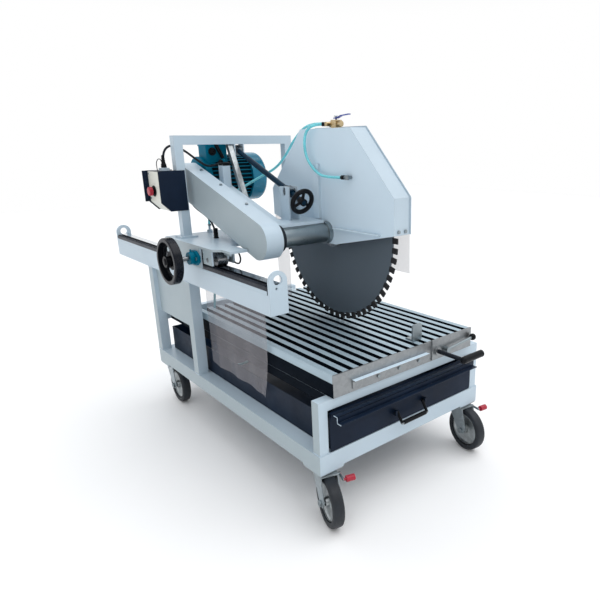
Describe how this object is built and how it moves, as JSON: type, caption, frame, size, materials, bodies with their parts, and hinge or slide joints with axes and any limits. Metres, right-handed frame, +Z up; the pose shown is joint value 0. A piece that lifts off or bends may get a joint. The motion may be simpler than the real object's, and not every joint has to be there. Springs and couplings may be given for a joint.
{
  "type": "stone block saw",
  "caption": "Wheeled saw for stone blocks: a large toothed disc under a guard, on a tilting head that travels along a toothed rail over a sliding slatted table and a pull-out tray.",
  "frame": {"origin": "on the floor under the middle of the base frame", "axes": "+Z up, -Y towards the operator at the tray front, +X towards the machine's right as the operator's left-hand beam lies at -X"},
  "size_m": [1.0758, 2.129, 1.487],
  "materials": {
    "frame_paint": "satin paint",
    "navy_paint": "satin paint",
    "cream_paint": "satin paint",
    "teal_paint": "gloss paint",
    "zinc": "zinc plated",
    "machined_steel": "machined",
    "blade_steel": "ground",
    "black_plastic": "moulded",
    "black_rubber": "matt",
    "tyre_rubber": "matt tyre on a zinc rim",
    "clear_sheet": "clear flexible sheet",
    "hose_plastic": "translucent",
    "brass": "cast",
    "blue_plastic": "dipped",
    "red_plastic": "moulded",
    "cast_iron": "machined",
    "pump_plastic": "moulded"
  },
  "bodies": {
    "frame": {"base_frame": "frame_paint", "rail_beam": "frame_paint", "toothed_rail": "machined_steel", "beam_curtain": "clear_sheet", "caster_plates": "zinc", "caster_bolts": "zinc"},
    "fork_fl": {"caster_fork_fl": "zinc"},
    "wheel_fl": {"caster_wheel_fl": "tyre_rubber"},
    "pedal_fl": {"brake_pedal_fl": "red_plastic"},
    "fork_fr": {"caster_fork_fr": "zinc"},
    "wheel_fr": {"caster_wheel_fr": "tyre_rubber"},
    "pedal_fr": {"brake_pedal_fr": "red_plastic"},
    "fork_rl": {"caster_fork_rl": "zinc"},
    "wheel_rl": {"caster_wheel_rl": "tyre_rubber"},
    "fork_rr": {"caster_fork_rr": "zinc"},
    "wheel_rr": {"caster_wheel_rr": "tyre_rubber"},
    "carriage": {"carriage": "frame_paint", "flange_bearing": "teal_paint", "portal_frame": "frame_paint", "portal_brace": "zinc", "switch_box_case": "navy_paint", "switch_box_cover": "cream_paint", "supply_hose": "hose_plastic", "motor_cable": "black_rubber"},
    "roller_front": {"guide_roller_front": "machined_steel"},
    "roller_rear": {"guide_roller_rear": "machined_steel"},
    "travel_drive": {"pinion_shaft": "machined_steel", "travel_handwheel": "black_plastic"},
    "stop_button": {"stop_button": "red_plastic"},
    "head": {"head_arm": "frame_paint", "belt_guard": "frame_paint", "head_bolts": "zinc", "drive_belts": "black_rubber", "motor": "teal_paint", "arbor_housing": "zinc", "blade_guard": "frame_paint", "guard_side_plate": "frame_paint", "splash_skirts": "clear_sheet", "water_valve": "brass", "hose_fittings": "brass", "spray_hose_left": "hose_plastic", "spray_hose_right": "hose_plastic"},
    "arbor": {"arbor_shaft": "machined_steel", "saw_blade": "blade_steel", "blade_clamp": "machined_steel"},
    "motor_rotor": {"motor_pulley": "cast_iron"},
    "valve_lever": {"valve_lever": "blue_plastic"},
    "screw_nut": {"screw_nut": "machined_steel"},
    "screw_block": {"screw_block": "machined_steel"},
    "depth_screw": {"depth_screw": "machined_steel", "depth_handwheel": "black_plastic"},
    "table": {"table_top": "zinc", "shelf_bar": "zinc", "table_bolts": "zinc", "push_handle": "black_plastic"},
    "lock_lever": {"lock_lever": "black_plastic"},
    "stop_plate": {"stop_plate": "zinc"},
    "tray": {"slurry_tray": "navy_paint", "water_pump": "pump_plastic"},
    "tray_handle": {"tray_handle": "black_plastic"}
  },
  "joints": [
    {"name": "swivel_fl", "type": "hinge", "parent": "frame", "child": "fork_fl", "pos_m": [-0.395, -0.695, 0.204], "axis": [0, 0, 1], "continuous": true},
    {"name": "roll_fl", "type": "hinge", "parent": "fork_fl", "child": "wheel_fl", "pos_m": [-0.41254, -0.75238, 0.1], "axis": [0.9563, -0.2924, 0], "continuous": true},
    {"name": "pedal_press_fl", "type": "hinge", "parent": "fork_fl", "child": "pedal_fl", "pos_m": [-0.40757, -0.73612, 0.193], "axis": [0.9563, -0.2924, 0], "range_deg": [0, 15]},
    {"name": "swivel_fr", "type": "hinge", "parent": "frame", "child": "fork_fr", "pos_m": [0.395, -0.695, 0.204], "axis": [0, 0, 1], "continuous": true},
    {"name": "roll_fr", "type": "hinge", "parent": "fork_fr", "child": "wheel_fr", "pos_m": [0.38665, -0.75442, 0.1], "axis": [0.9903, -0.1392, 0], "continuous": true},
    {"name": "pedal_press_fr", "type": "hinge", "parent": "fork_fr", "child": "pedal_fr", "pos_m": [0.38902, -0.73758, 0.193], "axis": [0.9903, -0.1392, 0], "range_deg": [0, 15]},
    {"name": "swivel_rl", "type": "hinge", "parent": "frame", "child": "fork_rl", "pos_m": [-0.395, 0.695, 0.204], "axis": [0, 0, 1], "continuous": true},
    {"name": "roll_rl", "type": "hinge", "parent": "fork_rl", "child": "wheel_rl", "pos_m": [-0.39814, 0.63508, 0.1], "axis": [0.9986, -0.0523, 0], "continuous": true},
    {"name": "swivel_rr", "type": "hinge", "parent": "frame", "child": "fork_rr", "pos_m": [0.395, 0.695, 0.204], "axis": [0, 0, 1], "continuous": true},
    {"name": "roll_rr", "type": "hinge", "parent": "fork_rr", "child": "wheel_rr", "pos_m": [0.40127, 0.63533, 0.1], "axis": [0.9945, 0.1045, 0], "continuous": true},
    {"name": "carriage_travel", "type": "slide", "parent": "frame", "child": "carriage", "axis": [0, 1, 0], "range_m": [-0.22, 0.6], "deforming": ["supply_hose"]},
    {"name": "roller_turn_front", "type": "hinge", "parent": "carriage", "child": "roller_front", "pos_m": [-0.408, -0.015, 0.9083], "axis": [1, 0, 0], "range_deg": [-1260, 480]},
    {"name": "roller_turn_rear", "type": "hinge", "parent": "carriage", "child": "roller_rear", "pos_m": [-0.408, 0.388, 0.9083], "axis": [1, 0, 0], "range_deg": [-1260, 480]},
    {"name": "travel_wheel_turn", "type": "hinge", "parent": "carriage", "child": "travel_drive", "pos_m": [-0.5, 0.095, 0.905], "axis": [1, 0, 0], "range_deg": [-1180, 440]},
    {"name": "stop_button_press", "type": "slide", "parent": "carriage", "child": "stop_button", "axis": [1, 0, 0], "range_m": [0, 0.005], "stiffness_N_per_m": 800},
    {"name": "head_tilt", "type": "hinge", "parent": "carriage", "child": "head", "pos_m": [-0.192, 0.16401, 1.03145], "axis": [-1, 0, 0], "range_deg": [-1.5, 18], "deforming": ["supply_hose", "motor_cable"]},
    {"name": "blade_spin", "type": "hinge", "parent": "head", "child": "arbor", "pos_m": [0, -0.235, 1], "axis": [1, 0, 0], "continuous": true},
    {"name": "motor_spin", "type": "hinge", "parent": "head", "child": "motor_rotor", "pos_m": [-0.27, 0.45, 1.216], "axis": [1, 0, 0], "continuous": true},
    {"name": "valve_turn", "type": "hinge", "parent": "head", "child": "valve_lever", "pos_m": [0.04893, -0.265, 1.47], "axis": [0, 0, 1], "range_deg": [0, 90]},
    {"name": "nut_swivel", "type": "hinge", "parent": "carriage", "child": "screw_nut", "pos_m": [-0.1, 0.325, 1.348], "axis": [1, 0, 0], "range_deg": [-9, 2]},
    {"name": "screw_advance", "type": "slide", "parent": "screw_nut", "child": "screw_block", "axis": [0, 0.9299, 0.3677], "range_m": [-0.012, 0.09]},
    {"name": "depth_wheel_turn", "type": "hinge", "parent": "screw_block", "child": "depth_screw", "pos_m": [-0.1, -0.11, 1.176], "axis": [0, 0.9299, 0.3677], "range_deg": [-420, 3200]},
    {"name": "table_slide", "type": "slide", "parent": "frame", "child": "table", "axis": [0, 1, 0], "range_m": [-0.45, 0.08]},
    {"name": "lock_lever_turn", "type": "hinge", "parent": "table", "child": "lock_lever", "pos_m": [0.205, -0.765, 0.546], "axis": [0, -1, 0], "range_deg": [-25, 60]},
    {"name": "stop_plate_slide", "type": "slide", "parent": "table", "child": "stop_plate", "axis": [0, 1, 0], "range_m": [0, 0.4]},
    {"name": "tray_slide", "type": "slide", "parent": "frame", "child": "tray", "axis": [0, -1, 0], "range_m": [0, 0.65], "deforming": ["supply_hose"]},
    {"name": "tray_handle_lift", "type": "hinge", "parent": "tray", "child": "tray_handle", "pos_m": [0, -0.762, 0.35], "axis": [-1, 0, 0], "range_deg": [0, 55]}
  ],
  "couplings": [
    {"joint": "roller_turn_front", "follows": "carriage_travel", "rad_per_m": -35.336},
    {"joint": "roller_turn_rear", "follows": "carriage_travel", "rad_per_m": -35.336},
    {"joint": "travel_wheel_turn", "follows": "carriage_travel", "rad_per_m": -33.333},
    {"joint": "motor_spin", "follows": "blade_spin", "ratio": 1.153},
    {"joint": "nut_swivel", "follows": "head_tilt", "ratio": -0.42118},
    {"joint": "screw_advance", "follows": "head_tilt", "m_per_rad": 0.24821},
    {"joint": "depth_wheel_turn", "follows": "head_tilt", "ratio": 155.95}
  ]
}
